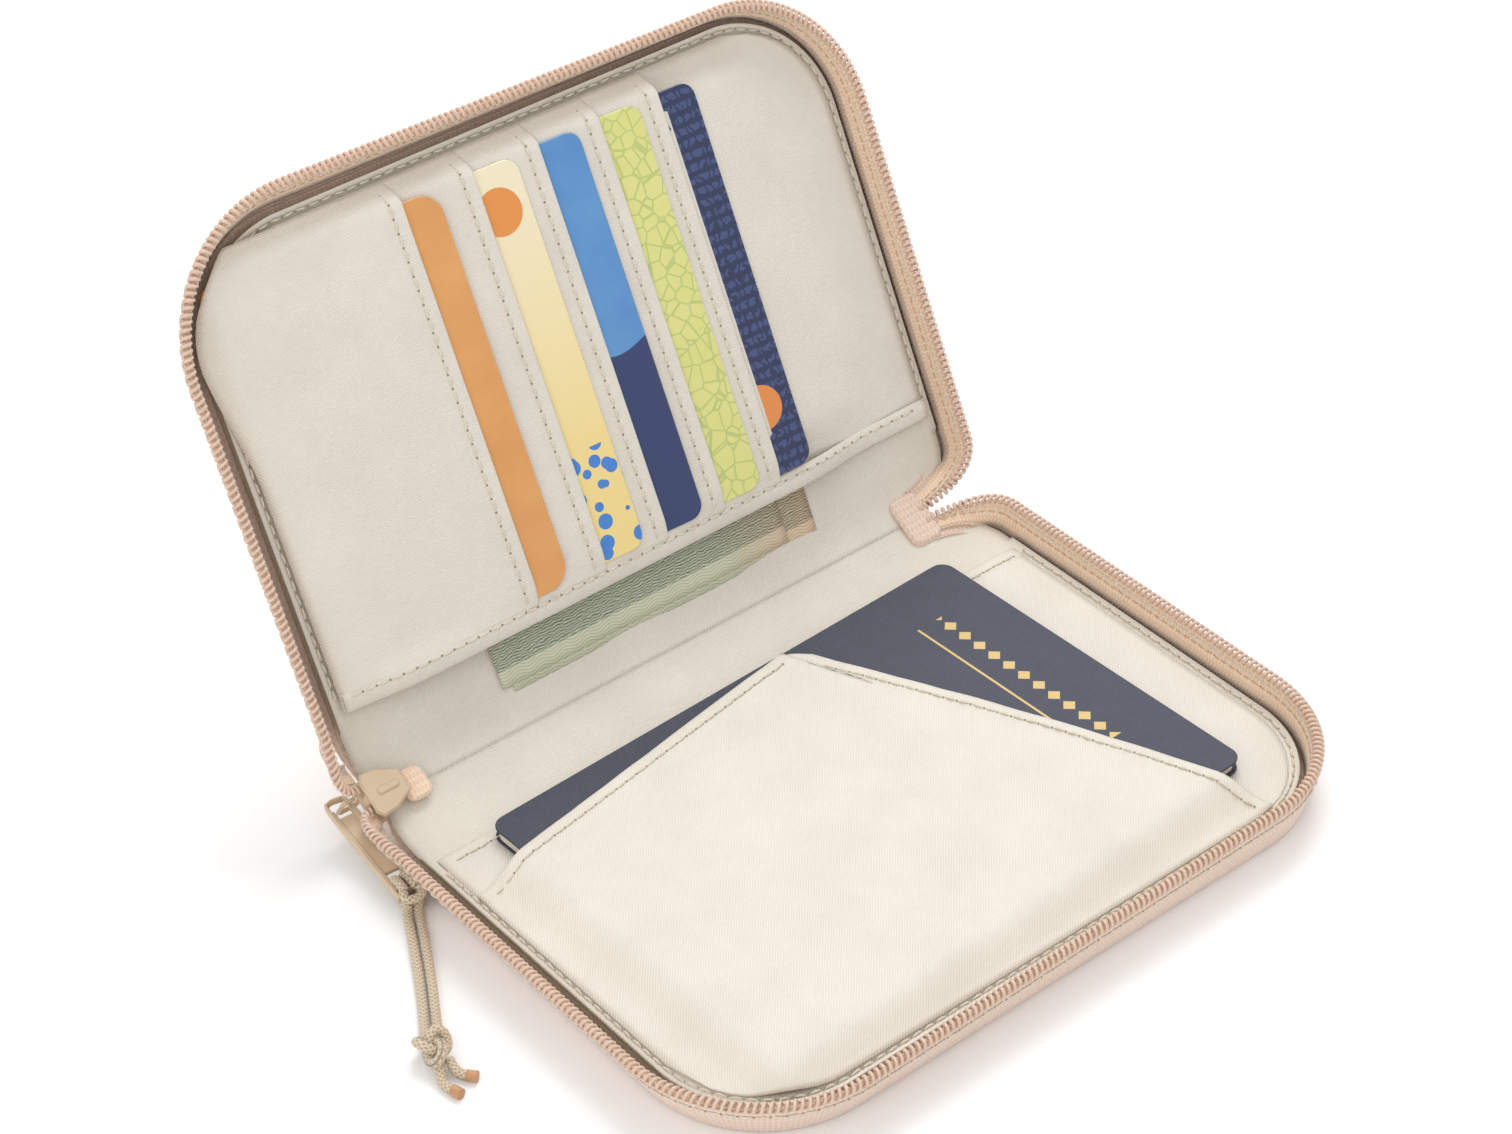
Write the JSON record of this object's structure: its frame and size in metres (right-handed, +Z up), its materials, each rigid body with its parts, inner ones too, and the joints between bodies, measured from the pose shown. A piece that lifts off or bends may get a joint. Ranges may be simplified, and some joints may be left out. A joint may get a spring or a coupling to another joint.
{
  "type": "neck pouch wallet",
  "caption": "Zip-around fabric travel wallet standing open, with passport pocket, slip pocket, shingled card slots, note pocket and a corded zip pull.",
  "frame": {"origin": "on the table, under the middle of the lower leaf's outer face", "axes": "+X runs along the spine away from the zip slider, the lower leaf lies towards -Y, +Z is up"},
  "size_m": [0.1936, 0.1839, 0.1203],
  "materials": {
    "shell_cloth": "woven band",
    "board": "plain sheet",
    "foam": "thin padding",
    "lining_cloth": "fine twill",
    "zip_tape": "ribbed tape",
    "zip_coil": "moulded coil",
    "passport_cover": "fine grain cover paper",
    "pages": "paper",
    "card_1": "satin",
    "card_2": "satin",
    "card_3": "satin",
    "card_4": "satin",
    "card_5": "satin",
    "banknotes": "paper",
    "slider_enamel": "matte enamel",
    "pull_cord": "round braid",
    "cord_ends": "melted ends"
  },
  "bodies": {
    "lower_leaf": {"lower_shell": "shell_cloth", "lower_board": "board", "lower_foam": "foam", "lower_lining": "lining_cloth", "lower_edge_band": "shell_cloth", "lower_zip_tape": "zip_tape", "lower_zip_coil": "zip_coil", "slip_pocket_panel": "lining_cloth", "passport_pocket_panel": "lining_cloth"},
    "passport": {"passport_cover": "passport_cover", "passport_pages": "pages"},
    "spine": {"spine_shell": "shell_cloth", "spine_lining": "lining_cloth", "zip_end_right": "zip_tape", "zip_end_left": "zip_tape"},
    "upper_leaf": {"upper_shell": "shell_cloth", "upper_board": "board", "upper_foam": "foam", "upper_lining": "lining_cloth", "upper_edge_band": "shell_cloth", "upper_zip_tape": "zip_tape", "upper_zip_coil": "zip_coil", "note_pocket_panel": "lining_cloth", "card_slot_panel_1": "lining_cloth", "card_slot_panel_2": "lining_cloth", "card_slot_panel_3": "lining_cloth", "card_slot_panel_4": "lining_cloth", "card_slot_panel_5": "lining_cloth"},
    "card_1": {"card_1": "card_1"},
    "card_2": {"card_2": "card_2"},
    "card_3": {"card_3": "card_3"},
    "card_4": {"card_4": "card_4"},
    "card_5": {"card_5": "card_5"},
    "banknotes": {"banknotes": "banknotes"},
    "slider": {"slider_body": "slider_enamel", "slider_bail": "slider_enamel"},
    "puller": {"puller_tab": "slider_enamel"},
    "pull_cord": {"pull_cord_hitch": "pull_cord", "pull_cord_leg_a": "pull_cord", "pull_cord_leg_b": "pull_cord", "pull_cord_knot": "pull_cord", "pull_cord_end_a": "cord_ends", "pull_cord_end_b": "cord_ends"}
  },
  "joints": [
    {"name": "lower_fold", "type": "hinge", "parent": "lower_leaf", "child": "spine", "pos_m": [0, 0.0549, 0.0004], "axis": [-1, 0, 0], "range_deg": [-58.3, 31.7]},
    {"name": "upper_fold", "type": "hinge", "parent": "spine", "child": "upper_leaf", "pos_m": [0, 0.07532, 0.01301], "axis": [-1, 0, 0], "range_deg": [-58.4, 31.8]},
    {"name": "passport_slide", "type": "slide", "parent": "lower_leaf", "child": "passport", "axis": [0.9994, 0.0349, 0], "range_m": [0, 0.012]},
    {"name": "card_1_slide", "type": "slide", "parent": "upper_leaf", "child": "card_1", "axis": [0.9956, -0.0841, 0.0421], "range_m": [0, 0.05]},
    {"name": "card_2_slide", "type": "slide", "parent": "upper_leaf", "child": "card_2", "axis": [0.9956, -0.0841, 0.0421], "range_m": [0, 0.05]},
    {"name": "card_3_slide", "type": "slide", "parent": "upper_leaf", "child": "card_3", "axis": [0.9956, -0.0841, 0.0421], "range_m": [0, 0.05]},
    {"name": "card_4_slide", "type": "slide", "parent": "upper_leaf", "child": "card_4", "axis": [0.9956, -0.0841, 0.0421], "range_m": [0, 0.05]},
    {"name": "card_5_slide", "type": "slide", "parent": "upper_leaf", "child": "card_5", "axis": [0.9956, -0.0841, 0.0421], "range_m": [0, 0.05]},
    {"name": "banknotes_slide", "type": "slide", "parent": "upper_leaf", "child": "banknotes", "axis": [0, 0.4478, 0.8942], "range_m": [-0.0042, 0.0076]},
    {"name": "slider_travel", "type": "slide", "parent": "spine", "child": "slider", "axis": [-1, 0, 0], "range_m": [0, 0.003]},
    {"name": "puller_swing", "type": "hinge", "parent": "slider", "child": "puller", "pos_m": [-0.0845, 0.06882, 0.00735], "axis": [0, 0.5255, -0.8508], "range_deg": [0, 100]},
    {"name": "cord_swing", "type": "hinge", "parent": "puller", "child": "pull_cord", "pos_m": [-0.086, 0.045, 0.0042], "axis": [-0.998, 0.0629, 0], "range_deg": [0, 45]}
  ],
  "couplings": [
    {"joint": "upper_fold", "follows": "lower_fold", "ratio": 1},
    {"joint": "banknotes_slide", "follows": "lower_fold", "m_per_rad": -0.00736}
  ]
}
